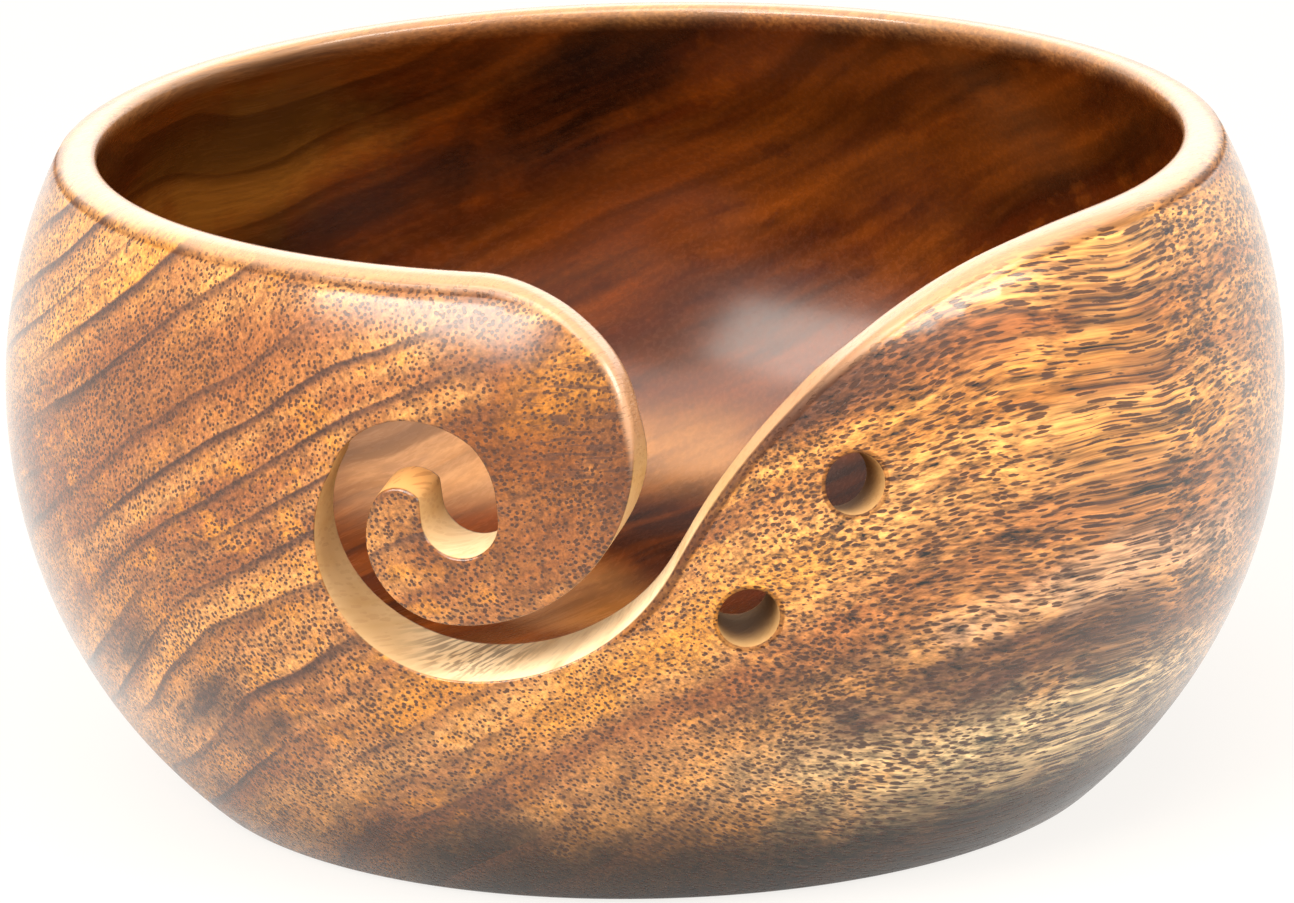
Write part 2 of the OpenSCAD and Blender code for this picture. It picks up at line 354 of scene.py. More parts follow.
class BowlMesh:
    """The bowl as one closed skin: outer wall, foot, rim with the slot's cut faces, holes and hollow."""

    GRID = 1.5 * MM
    GRID_ROW = 0.9 * GRID
    BORDER_GAP = 0.68 * GRID
    EDGE_STEPS = 6
    FACE_STEPS = 6
    # Shares of an edge's rounding over which the skin turns to bare wood, or to the rim's tint
    SAWN_SHARE = (0.7, 1)
    TINT_SHARE = (0, 0.6)
    BORE_SHARE = (0.8, 1)
    SLOT_STEP = 0.45 * MM
    LIP_STEP = 1.1 * MM
    RIM_STEP = 1.7 * MM
    WALL_REACH = (1 * MM, 30 * MM)
    RIM_SHARE = (0.5, 1)
    RIM_INNER_DROP = 3.3 * MM
    CROWN_SHARE = 0.45
    # Sanded edges: runs along the skin and along the cut face, outside and inside
    SANDED_OUT = (1.2 * MM, 1.4 * MM)
    SANDED_IN = (2.6 * MM, 2.8 * MM)
    INNER_EDGE = 1.3
    EDGE_LEDGE = (0.1 * MM, 0.35 * MM)
    # Darker edge up the flank: where it starts, where it fades, its rounding and its ledge
    DARK_FLANK_START = (-8 * MM, 2 * MM)
    DARK_FLANK_FADE = (0.3, 0.6)
    DARK_FLANK_SANDED = 0.6
    DARK_FLANK_LEDGE = 0.4 * MM
    GROOVE_DEPTH = 0.22 * MM
    # Painted shade in the groove under the rim, on the first rings of the rim's band
    GROOVE_SHADE = (0.15, 0.7, 0.4, 0.1)
    HOLE_POINTS, HOLE_DEPTH_STEPS, HOLE_EDGE_STEPS = 72, 5, 4
    DRILL_START = 6 * MM
    TEAR, TEAR_SCALE = 0.5, 2.6
    HOLE_LEDGES = (0.3 * MM, 0.15 * MM)
    HOLE_DARK = 0.6
    # Lowest turn of each sheet of triangles, and the radius at which it is laid out flat
    WALL_LOW, WALL_ARM = math.radians(-24), 72 * MM
    HOLLOW_LOW, HOLLOW_ARM = math.radians(-37), 65 * MM
    WALL_RINGS, FOOT_RINGS, HOLLOW_RINGS = 16, 6, 20
    CAP_SHARES = (0.8, 0.55, 0.3, 0.1)

    def __init__(self, sizes):
        self.s = sizes
        self.wall, self.hollow, self.foot = section(sizes)
        self.places, self.faces = [], []
        self.marks = {name: [] for name in MARKS}
        self.wall_holes, self.hollow_holes = [], []
        self.add_rim_and_slot()
        self.add_hole(sizes.low_hole_angle, sizes.low_hole_drop, 3)
        self.add_hole(sizes.high_hole_angle, sizes.high_hole_drop, 8)
        self.add_outer_wall()
        self.add_hollow()

    def point(self, p, sawn=0.0, rim=0.0, crease=0.0, inside=0.0):
        self.places.append(p.copy())
        for name, value in zip(MARKS, (sawn, rim, crease, inside)):
            self.marks[name].append(value)
        return len(self.places) - 1

    def band(self, rings, flip=False):
        """Faces between closed rings of points, each ring in step with the next."""
        for lower, upper in zip(rings, rings[1:]):
            n = len(lower)
            for i in range(n):
                j = (i + 1) % n
                quad = (lower[i], lower[j], upper[j], upper[i])
                self.faces.append(quad[::-1] if flip else quad)

    def rim_stations(self):
        """Sharp outer and inner corners all round the rim and the slot, with their shares of rim,
        bare wood and darker flank edge."""
        s, wall, hollow = self.s, self.wall, self.hollow
        left, right = slot_outline(s)
        line = spaced(left, self.SLOT_STEP, self.LIP_STEP)
        turned = len(line)
        line += spaced(right[::-1], self.SLOT_STEP, self.LIP_STEP)[1:]
        slot = []
        for k, (place, swing, rise, lip, bare) in enumerate(line):
            rim = share(lip, *self.RIM_SHARE)
            z = place.y - s.lip_rise * rim
            outer = Vector((place.x, -math.sqrt(wall.radius(z) ** 2 - place.x ** 2), z))
            radial = Vector((-outer.x, -outer.y, 0)).normalized()
            way = saw_way(swing, rise).lerp(radial, rim).normalized()
            inner = hollow.reach(outer, way, *self.WALL_REACH)
            dark_flank = 0.0
            if k >= turned:
                dark_flank = share(place.x, *self.DARK_FLANK_START) * (1 - share(lip, *self.DARK_FLANK_FADE))
            slot.append((outer, inner, rim, bare, dark_flank))
        first, last = bearing(slot[0][0]), bearing(slot[-1][0])
        step = self.RIM_STEP / wall.radius(s.height)
        top_o, top_i = wall.turn(s.height), hollow.turn(s.height)

        def rim_run(a, b):
            n = round((b - a) / step)
            for k in range(n):
                theta = lerp(a, b, k / n)
                yield wall.at(theta, top_o), hollow.at(theta, top_i), 1.0, 0.0, 0.0

        return list(rim_run(-math.pi, first)) + slot + list(rim_run(last, math.pi))[1:]

    def add_rim_and_slot(self):
        """Crowned rim and the slot's cut faces, as one band from the outer wall to the hollow."""
        s, wall, hollow, steps = self.s, self.wall, self.hollow, self.EDGE_STEPS
        stations = self.rim_stations()
        count = len(stations)
        crease_z = s.height - s.rim_crown
        crease_run = (wall.turn(s.height) - wall.turn(crease_z)) * wall.r
        inner_low = s.height - self.RIM_INNER_DROP
        hollow_run = (hollow.turn(s.height) - hollow.turn(inner_low)) * hollow.r
        edge, edge_in = s.slot_edge, s.slot_edge * self.INNER_EDGE
        loops = []
        for i, (outer, inner, rim, cut, dark_flank) in enumerate(stations):
            before, after = stations[i - 1], stations[(i + 1) % count]
            normal_o, normal_i = wall.normal(outer), hollow.normal(inner)
            aside_o = (after[0] - before[0]).cross(normal_o).normalized()
            aside_i = normal_i.cross(after[1] - before[1]).normalized()
            across = inner - outer
            most = self.CROWN_SHARE * across.length
            across.normalize()
            soft = max(1 - cut, self.DARK_FLANK_SANDED * dark_flank)
            run_o = lerp(lerp(edge, self.SANDED_OUT[0], soft), crease_run, rim)
            run_i = lerp(lerp(edge_in, self.SANDED_IN[0], soft), hollow_run, rim)
            in_o = min(lerp(lerp(edge, self.SANDED_OUT[1], soft), most, rim), most)
            in_i = min(lerp(lerp(edge_in, self.SANDED_IN[1], soft), most, rim), most)
            ledge = max(lerp(*self.EDGE_LEDGE, rim), self.DARK_FLANK_LEDGE * dark_flank)
            edge_w = wall.point(outer + aside_o * (run_o + ledge))
            edge_o = wall.point(outer + aside_o * run_o)
            edge_i = hollow.point(inner + aside_i * run_i)
            face_o, face_i = outer + across * in_o, inner - across * in_i
            ring = [edge_w] + curve(edge_o, outer, face_o, steps)
            ring += [face_o.lerp(face_i, k / self.FACE_STEPS) for k in range(self.FACE_STEPS)]
            ring += curve(face_i, inner, edge_i, steps) + [edge_i]
            ring[1] = ring[1] - normal_o * (self.GROOVE_DEPTH * rim)
            column = []
            for k, p in enumerate(ring):
                bare = min(1, max(0, k - 1) / steps, (len(ring) - 1 - k) / steps)
                # Painted shade in the groove under the rim; darker edge up the flank
                dark = self.GROOVE_SHADE[k] * rim if k < len(self.GROOVE_SHADE) else 0.0
                dark = max(dark, dark_flank * min(k, 1) * (1 - share(k, steps, steps + 2)))
                deep = min(1, max(0, (k - 1 - steps - self.FACE_STEPS) / steps))
                sawn, tinted = share(bare, *self.SAWN_SHARE), share(bare, *self.TINT_SHARE)
                column.append(self.point(p, cut * sawn, (1 - cut) * tinted, dark, deep))
            loops.append(column)
        rings = list(zip(*loops))
        self.band(rings)
        self.wall_loop, self.hollow_loop = rings[0], rings[-1]

    def add_hole(self, theta, drop, seed):
        """Needle hole square to the outer wall, with a slightly torn edge."""
        s, wall, hollow = self.s, self.wall, self.hollow
        count, depth_steps, edge_steps = self.HOLE_POINTS, self.HOLE_DEPTH_STEPS, self.HOLE_EDGE_STEPS
        turn = math.asin((s.belly_drop - drop) / wall.r)
        middle = wall.at(theta, turn)
        axis = wall.normal(middle)
        side = Vector((0, 0, 1)).cross(axis).normalized()
        up = axis.cross(side)
        columns = []
        for k in range(count):
            a = 2 * math.pi * k / count
            out = side * math.cos(a) + up * math.sin(a)
            base = middle + out * (s.hole_diameter / 2)
            outer = wall.reach(base + axis * self.DRILL_START, -axis, 0, 2 * self.DRILL_START)
            inner = hollow.reach(base, -axis, *self.WALL_REACH)
            torn = max(0, noise.noise(Vector((math.cos(a), math.sin(a), seed)) * self.TEAR_SCALE))
            run_o = s.hole_edge * (1 + self.TEAR * torn)
            aside_o = (out - wall.normal(outer) * out.dot(wall.normal(outer))).normalized()
            aside_i = (out - hollow.normal(inner) * out.dot(hollow.normal(inner))).normalized()
            edge_o = wall.point(outer + aside_o * run_o)
            edge_i = hollow.point(inner + aside_i * s.hole_edge)
            face_o, face_i = outer - axis * s.hole_edge, inner + axis * s.hole_edge
            flat_o, near_o = (wall.point(outer + aside_o * (run_o + ledge)) for ledge in self.HOLE_LEDGES)
            flat_i = hollow.point(inner + aside_i * (s.hole_edge + self.HOLE_LEDGES[1]))
            ring = curve(edge_o, outer, face_o, edge_steps)
            ring += [face_o.lerp(face_i, j / depth_steps) for j in range(depth_steps)]
            ring += curve(face_i, inner, edge_i, edge_steps) + [edge_i, flat_i]
            column = [self.point(flat_o), self.point(near_o, crease=self.HOLE_DARK)]
            for j, p in enumerate(ring):
                bare = max(0, min(1, j / edge_steps, (len(ring) - 2 - j) / edge_steps))
                deep = min(1, max(0, (j - edge_steps - depth_steps) / edge_steps))
                dark = max(self.HOLE_DARK, 3 * bare * (1 - bare)) if j < edge_steps else 0
                column.append(self.point(p, share(bare, *self.BORE_SHARE), 0, dark, deep))
            columns.append(column)
        rings = list(zip(*columns))
        self.band(rings)
        self.wall_holes.append(rings[0])
        self.hollow_holes.append(rings[-1])

    def sheet(self, loop, holes, skin, arm, low_turn, flip, inside):
        """Skin between the rim's loop and a level ring, round the holes. Returns that ring."""
        radius = skin.r
        flat, ids, edges = [], [], []

        def put(x, y, i):
            flat.append(Vector((x, y)))
            ids.append(i)
            return len(flat) - 1

        def chain(items):
            edges.extend(zip(items, items[1:]))

        def on_sheet(i, theta=None):
            p = self.places[i]
            return put((bearing(p) if theta is None else theta) * arm, skin.turn(p.z) * radius, i)

        top = [on_sheet(loop[0], -math.pi)] + [on_sheet(i) for i in loop[1:]]
        top.append(on_sheet(loop[0], math.pi))
        low = low_turn * radius
        ring = [self.point(skin.at(theta, low_turn), inside=inside) for theta in ROUND]
        bottom = [put(theta * arm, low, i) for theta, i in zip(ROUND + [math.pi], ring + ring[:1])]
        high = flat[top[0]].y
        rows = max(2, round((high - low) / self.GRID))
        levels = [low + (high - low) * k / rows for k in range(1, rows)]
        seam = [self.point(skin.at(-math.pi, level / radius), inside=inside) for level in levels]
        left, right = ([put(end * arm, level, i) for level, i in zip(levels, seam)]
                       for end in (-math.pi, math.pi))
        chain([bottom[0]] + left + [top[0]])
        chain([bottom[-1]] + right + [top[-1]])
        chain(top)
        chain(bottom)
        hole_sets = []
        for hole in holes:
            items = [on_sheet(i) for i in hole]
            chain(items + items[:1])
            hole_sets.append(set(items))
        border = kdtree.KDTree(len(flat))
        for i, p in enumerate(flat):
            border.insert((p.x, p.y, 0), i)
        border.balance()
        centres = []
        for items in hole_sets:
            centre = sum((flat[i] for i in items), Vector((0, 0))) / len(items)
            centres.append((centre, max((flat[i] - centre).length for i in items)))
        outline = [flat[i] for i in bottom + right + top[::-1] + left[::-1]]
        across = round(2 * math.pi * arm / self.GRID)
        top_y = max(p.y for p in flat)
        y, row, grid = low + self.GRID_ROW, 0, []
        while y < top_y:
            for k in range(across):
                grid.append(((2 * (k + 0.5 * (row % 2) + 0.25) / across - 1) * math.pi * arm, y))
            y += self.GRID_ROW
            row += 1
        for (x, y), keep in zip(grid, within(grid, outline)):
            if not keep or border.find((x, y, 0))[2] < self.BORDER_GAP:
                continue
            if all((Vector((x, y)) - c).length > r for c, r in centres):
                put(x, y, None)
        out, _, triangles, kept, _, _ = delaunay_2d_cdt(flat, edges, [], 1, 1e-9, True)
        middles = [(out[a] + out[b] + out[c]) / 3 for a, b, c in triangles]
        made = {}
        for triangle, keep in zip(triangles, within(middles, outline)):
            if not keep:
                continue
            sources = [kept[v][0] if kept[v] else -1 for v in triangle]
            if any(all(i in items for i in sources) for items in hole_sets):
                continue
            face = []
            for v, i in zip(triangle, sources):
                key = ids[i] if i >= 0 else None
                if key is None:
                    if v not in made:
                        made[v] = self.point(skin.at(out[v].x / arm, out[v].y / radius), inside=inside)
                    key = made[v]
                face.append(key)
            self.faces.append(face[::-1] if flip else face)
        return ring

    def turned_rings(self, first, profile, flip, inside):
        """Rings below a sheet, down to a point on the axis."""
        rings = [first]
        for r, z in profile:
            rings.append([self.point(Vector((r * math.sin(t), -r * math.cos(t), z)), inside=inside)
                          for t in ROUND])
        self.band(rings, flip)
        tip = self.point(Vector((0, 0, profile[-1][1])), inside=inside)
        last = rings[-1]
        for a, b in zip(last, last[1:] + last[:1]):
            self.faces.append((tip, b, a) if flip else (a, b, tip))

    def add_outer_wall(self):
        """Outer wall down to the foot and across it."""
        wall, foot = self.wall, self.foot
        ring = self.sheet(self.wall_loop, self.wall_holes, wall,
                          self.WALL_ARM, self.WALL_LOW, False, 0.0)
        last = -math.asin((wall.z - foot.r) / (wall.r - foot.r))
        profile = wall.profile(self.WALL_LOW, last, self.WALL_RINGS)
        profile += foot.profile(last, -math.pi / 2, self.FOOT_RINGS)
        profile += [(foot.x * part, 0.0) for part in (0.97,) + self.CAP_SHARES]
        self.turned_rings(ring, profile, True, 0.0)

    def add_hollow(self):
        """Hollow down to the middle of its floor."""
        hollow = self.hollow
        ring = self.sheet(self.hollow_loop, self.hollow_holes, hollow,
                          self.HOLLOW_ARM, self.HOLLOW_LOW, True, 1.0)
        profile = hollow.profile(self.HOLLOW_LOW, -math.pi / 2, self.HOLLOW_RINGS)
        profile += [(hollow.x * part, self.s.floor) for part in self.CAP_SHARES]
        self.turned_rings(ring, profile, False, 1.0)

    def build(self, name):
        """Blender mesh with the marks for the wood finish."""
        mesh = bpy.data.meshes.new(name)
        mesh.from_pydata(self.places, [], self.faces)
        for mark, values in self.marks.items():
            mesh.attributes.new(mark, "FLOAT", "POINT").data.foreach_set("value", values)
        mesh.polygons.foreach_set("use_smooth", [True] * len(mesh.polygons))
        mesh.update()
        return mesh


class Nodes:
    """A node tree, with short calls for its nodes."""

    def __init__(self, tree):
        self.tree = tree
        tree.nodes.clear()

    def fill(self, socket, value):
        if isinstance(value, bpy.types.NodeSocket):
            self.tree.links.new(value, socket)
        else:
            socket.default_value = value

    def node(self, kind, inputs=None, **settings):
        node = self.tree.nodes.new("ShaderNode" + kind)
        for key, value in settings.items():
            setattr(node, key, value)
        for key, value in (inputs or {}).items():
            self.fill(node.inputs[key], value)
        return node

    def math(self, operation, a, b=0.0, c=0.0):
        return self.node("Math", {0: a, 1: b, 2: c}, operation=operation).outputs[0]

    def times(self, *values):
        total = values[0]
        for value in values[1:]:
            total = self.math("MULTIPLY", total, value)
        return total

    def ramp(self, value, low, high, start=0.0, end=1.0):
        """Smooth step of a value between two limits."""
        return self.node("MapRange", {0: value, 1: low, 2: high, 3: start, 4: end},
                         interpolation_type="SMOOTHSTEP").outputs[0]

    def mix(self, share, a, b, blend="MIX"):
        return self.node("Mix", {0: share, 6: a, 7: b}, data_type="RGBA", blend_type=blend).outputs[2]

    def dim(self, tone, level):
        """A colour times a level."""
        grey = self.node("CombineColor", {0: level, 1: level, 2: level}).outputs[0]
        return self.mix(1.0, tone, grey, "MULTIPLY")

    def vector(self, operation, a, b=(0, 0, 0), scale=1.0):
        node = self.node("VectorMath", {0: a, 1: b, 3: scale}, operation=operation)
        single = operation in ("DOT_PRODUCT", "LENGTH", "DISTANCE")
        return node.outputs["Value" if single else "Vector"]

    def noise(self, vector, scale, detail=2.0, rough=0.5, colour=False):
        node = self.node("TexNoise", {
            "Vector": vector, "Scale": scale, "Detail": detail, "Roughness": rough})
        return node.outputs["Color" if colour else "Fac"]

    def mark(self, name):
        return self.node("Attribute", attribute_name=name).outputs["Fac"]

    def seen(self):
        """1 for rays that show the pale surroundings, 0 for rays that carry light."""
        path = self.node("LightPath").outputs
        rays = self.math("MAXIMUM", path["Is Camera Ray"], path["Is Glossy Ray"])
        return self.math("MAXIMUM", rays, path["Is Transmission Ray"])


def new_material(name):
    material = bpy.data.materials.new(name)
    material.use_nodes = True
    return material


FIBRE = Vector((-0.67, -0.742, 0)).normalized()
RING = Vector((-0.393, 0.355, 0.848)).normalized()
GRAIN_WAYS = FIBRE, RING.cross(FIBRE).normalized(), RING

# One year's growth and places in the wood, in millimetres
YEAR = 5.3
HOOK_HEAD = (-5, -74, 62)
TONGUE_TIP = (-26.5, -67, 60)
TORN_FIBRES = (-20, -64, 36)
# Centre of the fainter painted pool of light on the hollow's floor
LIT_FLOOR_SPOT = (-9, 30, 10)
# Centres of the painted shade in the needle holes
NEEDLE_HOLES = ((22, -67, 53), (10.5, -70, 40))

# Blotches of the wood, a few in the hollow painted light or shade as marked: centre and half sizes along
# the fibre, across it and across the growth rings, in millimetres, then the name of the colour and its
# strength
BLOTCHES = (
    ((-15, -72, 61), (30, 17, 13), "honey", 1.0),
    ((-10, -75, 51), (30, 15, 10), "chestnut", 0.55),
    ((-8, -73, 66), (30, 8, 5), "amber", 0.65),
    ((-1, -74, 59), (30, 6, 11), "umber", 1.0),
    ((-13, -73, 55), (30, 18, 14), "honey", 0.6),
    ((-25, -70, 31), (30, 13, 3.5), "amber", 0.65),
    ((-10, -72, 28), (30, 10, 3), "amber", 0.60),
    ((10, -75, 42), (30, 14, 4), "amber", 0.45),
    ((36, -65, 61), (45, 20, 4), "amber", 0.25),
    ((18, -71, 64), (24, 8, 4), "umber", 1.0),
    ((44, -58, 40), (40, 22, 3.5), "tan", 0.35),
    ((44, -58, 45), (40, 24, 8), "chestnut", 0.35),
    ((42, -56, 18), (50, 26, 7), "olive", 0.90),
    ((22, -66, 22), (30, 14, 4), "olive", 0.55),
    ((20, -71, 31), (30, 12, 3), "umber", 0.70),
    ((36, -64, 30), (45, 20, 4.2), "umber", 1.0),
    ((50, -53, 28), (40, 18, 3.6), "umber", 0.9),
    ((54, -52, 38), (40, 14, 3.2), "rim", 0.55),
    ((-60, -41, 28), (20, 9, 3), "umber", 1.0),
    ((-51, -50, 23.5), (20, 9, 3), "umber", 1.0),
    ((-44, -54, 21.5), (20, 8, 2.5), "umber", 1.0),
    ((-11, -70, 21), (30, 16, 4), "chestnut", 0.65),
    ((-58, -44, 65), (24, 12, 5), "chestnut", 0.85),
    ((-55, -50, 61), (24, 12, 5), "umber", 0.6),
    ((-38, -60, 67), (24, 15, 7), "chestnut", 0.85),
    ((-54, -50, 62), (24, 22, 10), "chestnut", 0.7),
    # Next two: painted shade on the hollow's back wall, high under the rim and just above the highlight
    ((-8, 67, 64), (24, 16, 8), "umber", 1.0),
    ((11, 66, 41), (20, 16, 5), "umber", 0.55),
    ((1, 69, 51), (24, 14, 6), "amber", 0.70),
    # Painted light on the hollow's left wall near the rim
    ((-50, 47, 62), (24, 18, 10), "olive", 1.0),
    ((-38, 57, 51), (24, 14, 5), "umber", 0.65),
    ((61, 26, 69), (14, 12, 9), "umber", 0.75),
    ((20, 63, 70), (30, 18, 4), "tan", 0.45),
    ((33, 61, 52), (24, 16, 6), "honey", 0.3),
    ((48, 48, 65), (24, 16, 6), "tan", 0.7),
    ((26, 45, 19), (10, 12, 9), "umber", 0.9),
    # Painted shade low in the hollow behind the throat
    ((3, 45, 14), (14, 14, 9), "umber", 0.90),
)


class Wood(Nodes):
    """Nodes of the wood, with the places, marks and noises that its layers share."""

    def __init__(self, material, colours):
        super().__init__(material.node_tree)
        self.c = colours
        # Browner tone of the rim and the flank's cut face at the front
        self.front_brown = tuple(lerp(a, b, 0.4) for a, b in zip(colours.rim, colours.chestnut))
        self.find_places()
        self.find_figure()
        self.find_pores()

    def find_places(self):
        """Places in millimetres, directions of the grain, and the marks on the mesh."""
        self.place = self.vector("SCALE", self.node("TexCoord").outputs["Object"], scale=1 / MM)
        bent = self.place
        for scale, reach in ((0.02, 11), (0.14, 0.45)):
            swirl = self.noise(self.place, scale, 2, 0.5, True)
            sway = self.vector("SUBTRACT", swirl, (0.5, 0.5, 0.5))
            bent = self.vector("ADD", bent, self.vector("SCALE", sway, scale=reach))
        self.ways = self.along_grain(bent)
        self.x, self.y, self.z = self.node("SeparateXYZ", {0: self.place}).outputs
        self.sawn, self.rim, self.crease, self.inside = (self.mark(name) for name in MARKS)
        self.right = self.ramp(self.x, -10, 30)

    def along_grain(self, place):
        """Parts of a place along the fibre, across it and across the growth rings."""
        return [self.vector("DOT_PRODUCT", place, tuple(way)) for way in GRAIN_WAYS]

    def grain(self, sizes, ways=None):
        """Texture place for a grain of these sizes along, across and through the rings."""
        parts = [self.math("DIVIDE", way, size) for way, size in zip(ways or self.ways, sizes)]
        return self.node("CombineXYZ", dict(enumerate(parts))).outputs[0]

    def grained(self, sizes, detail=2.0, rough=0.5):
        """Noise drawn out along the grain."""
        return self.noise(self.grain(sizes), 1.0, detail, rough)

    def near(self, at, outer, inner):
        """1 within the inner distance of a place, 0 beyond the outer one."""
        return self.ramp(self.vector("DISTANCE", self.place, at), outer, inner)

    def find_figure(self):
        """Noises that more than one layer uses."""
        self.cloud = self.noise(self.place, 0.03, 3, 0.55)
        self.uneven = self.math("MULTIPLY_ADD", self.noise(self.place, 0.12, 4, 0.65), 1.6, -0.8)
        self.fibre = self.grained((26, 0.55, 0.55), 3, 0.6)

    def find_pores(self):
        """Long pores along the grain, fewer where the wood is sawn or polished."""
        jitter = self.vector("SCALE", self.noise(self.place, 1.1, 1, 0.5, True), scale=0.3)
        cell = self.node("TexVoronoi", {
            "Vector": self.vector("ADD", self.grain((6.5, 0.56, 0.56)), jitter),
            "Randomness": 0.85, "Scale": 1.0})
        many = self.ramp(self.grained((30, 12, 3.5), 2), 0.3, 0.7, 0.29, 0.40)
        self.pore = self.ramp(self.math("SUBTRACT", cell.outputs["Distance"], many), 0.06, -0.05)
        filled = self.math("MAXIMUM", self.times(self.sawn, 0.8), self.times(self.rim, 0.35))
        self.covered = self.math("SUBTRACT", 1.0, filled)
        self.open_pore = self.times(self.pore, self.covered, self.ramp(self.inside, 0, 1, 1.0, 0.3))


def bands(f):
    """Red-brown and tan bands with golden and dark clouds and flecks."""
    c = f.c
    band = f.grained((200, 80, 8), 3, 0.55)
    tone = f.mix(f.ramp(band, 0.36, 0.60), c.chestnut, c.tan)
    golden = f.times(f.ramp(band, 0.50, 0.70), f.ramp(f.cloud, 0.42, 0.60),
                     f.ramp(f.right, 0, 1, 0.7, 0.35))
    tone = f.mix(golden, tone, c.amber)
    tone = f.mix(f.times(f.ramp(f.cloud, 0.44, 0.30), 0.5), tone, c.umber)
    fleck = f.grained((16, 5, 3), 3, 0.6)
    pale = f.mix(f.right, c.amber, c.tan)
    tone = f.mix(f.times(f.ramp(fleck, 0.50, 0.66), 0.55), tone, pale)
    return f.mix(f.times(f.ramp(fleck, 0.46, 0.32), 0.45), tone, c.chestnut)


def blotches(f, tone):
    """The listed blotches, and the darkening above the foot, partly grey-brown wood and partly painted
    shade.
    """
    flames = f.ramp(f.grained((70, 16, 1.7), 3, 0.6), 0.34, 0.58, 0.6, 1.0)
    for at, sizes, tint, strength in BLOTCHES:
        ways = f.along_grain(f.vector("SUBTRACT", f.place, at))
        far = f.vector("LENGTH", f.grain(sizes, ways))
        cover = f.times(f.ramp(f.math("ADD", far, f.uneven), 1.3, 0.25), strength)
        if tint == "umber":
            cover = f.times(cover, flames)
        tone = f.mix(cover, tone, getattr(f.c, tint))
    # Painted shade and grey-brown wood above the foot, outside only: darker towards the bottom, weaker
    # far to the left
    level = f.math("ADD", f.z, f.times(f.uneven, 9.0))
    outside = f.math("SUBTRACT", 1.0, f.inside)
    smoky_shade = f.times(f.ramp(level, 21, 6), outside, f.ramp(f.x, -52, -22, 0.3, 0.95))
    return f.mix(smoky_shade, tone, f.c.smoke_and_shade)


def growth_rings(f, tone):
    """Dark lines at the end of each year, clearest on the left."""
    slow = f.times(f.grained((220, 120, 17), 1), 2.4)
    year = f.math("FRACT", f.math("ADD", f.math("DIVIDE", f.ways[2], YEAR), slow))
    faint = f.times(
        f.ramp(f.grained((60, 40, 6), 1), 0.36, 0.60, 0.12, 1.0),
        f.ramp(f.x, -8, -38, 0.2, 1.0), f.ramp(f.inside, 0, 1, 1.0, 0.4))
    tone = f.mix(f.times(f.ramp(year, 0.35, 1.0), 0.7, faint), tone, f.c.chestnut)
    line = f.times(f.ramp(year, 0.70, 0.95), f.ramp(year, 1.0, 0.96), faint)
    return f.mix(line, tone, f.c.umber)


def streaks(f, tone):
    """Fine light and dark fibres, and the curled figure on the hook's head."""
    mottle = f.grained((12, 3.4, 2.4), 3, 0.6)
    wide = f.math("SUBTRACT", f.grained((34, 1.3, 1.3), 2), 0.5)
    thin = f.math("SUBTRACT", f.fibre, 0.5)
    light = f.math("ADD", f.times(thin, f.ramp(f.right, 0, 1, 2.6, 4.2)),
                   f.ramp(mottle, 0.3, 0.7, 0.80, 1.16))
    light = f.math("ADD", light, f.times(wide, f.ramp(f.right, 0, 1, 0.5, 2.2)))
    tone = f.dim(tone, light)
    streak = f.times(
        f.ramp(f.grained((22, 0.42, 0.42), 1), 0.57, 0.67),
        f.ramp(f.cloud, 0.35, 0.6, 0.5, 1.0), f.ramp(f.right, 0, 1, 0.4, 0.95))
    tone = f.mix(streak, tone, f.c.umber)
    curls = f.node("CombineXYZ", {
        0: f.math("DIVIDE", f.x, 5.0), 1: f.math("DIVIDE", f.z, 0.9)}).outputs[0]
    curl = f.node("TexNoise", {
        "Vector": curls, "Scale": 1.0, "Detail": 1.0, "Distortion": 1.2}).outputs["Fac"]
    curled = f.times(f.ramp(curl, 0.52, 0.62), f.near(HOOK_HEAD, 13, 5), 0.75)
    return f.mix(curled, tone, f.c.umber)


def pores(f, tone):
    """Open pores and small dark specks."""
    tone = f.mix(f.times(f.open_pore, 0.92), tone, f.c.pore)
    small = f.node("TexVoronoi", {
        "Vector": f.grain((3.4, 0.44, 0.44)), "Scale": 1.0, "Randomness": 1.0})
    speck = f.times(f.ramp(small.outputs["Distance"], 0.30, 0.16), f.covered,
                    f.ramp(f.right, 0, 1, 0.4, 0.15))
    return f.mix(speck, tone, f.c.umber)


def rim_tint(f, tone):
    """Pale rim, partly its polished tone and partly painted light on its upward face, browner at the
    front, and painted shade in the groove under it.
    """
    # Rim tint: partly the rim's own tone, partly painted light on its upward face
    tone = f.mix(f.times(f.rim, 0.6), tone, f.c.rim)
    front = f.times(f.rim, f.ramp(f.x, -62, -38, 0.0, 0.75), f.ramp(f.y, -15, -35))
    tone = f.mix(front, tone, f.front_brown)
    # Crease mark: painted shade in the groove under the rim, and darker edges round the holes and up the
    # flank
    return f.mix(f.times(f.crease, 0.8), tone, f.c.umber)


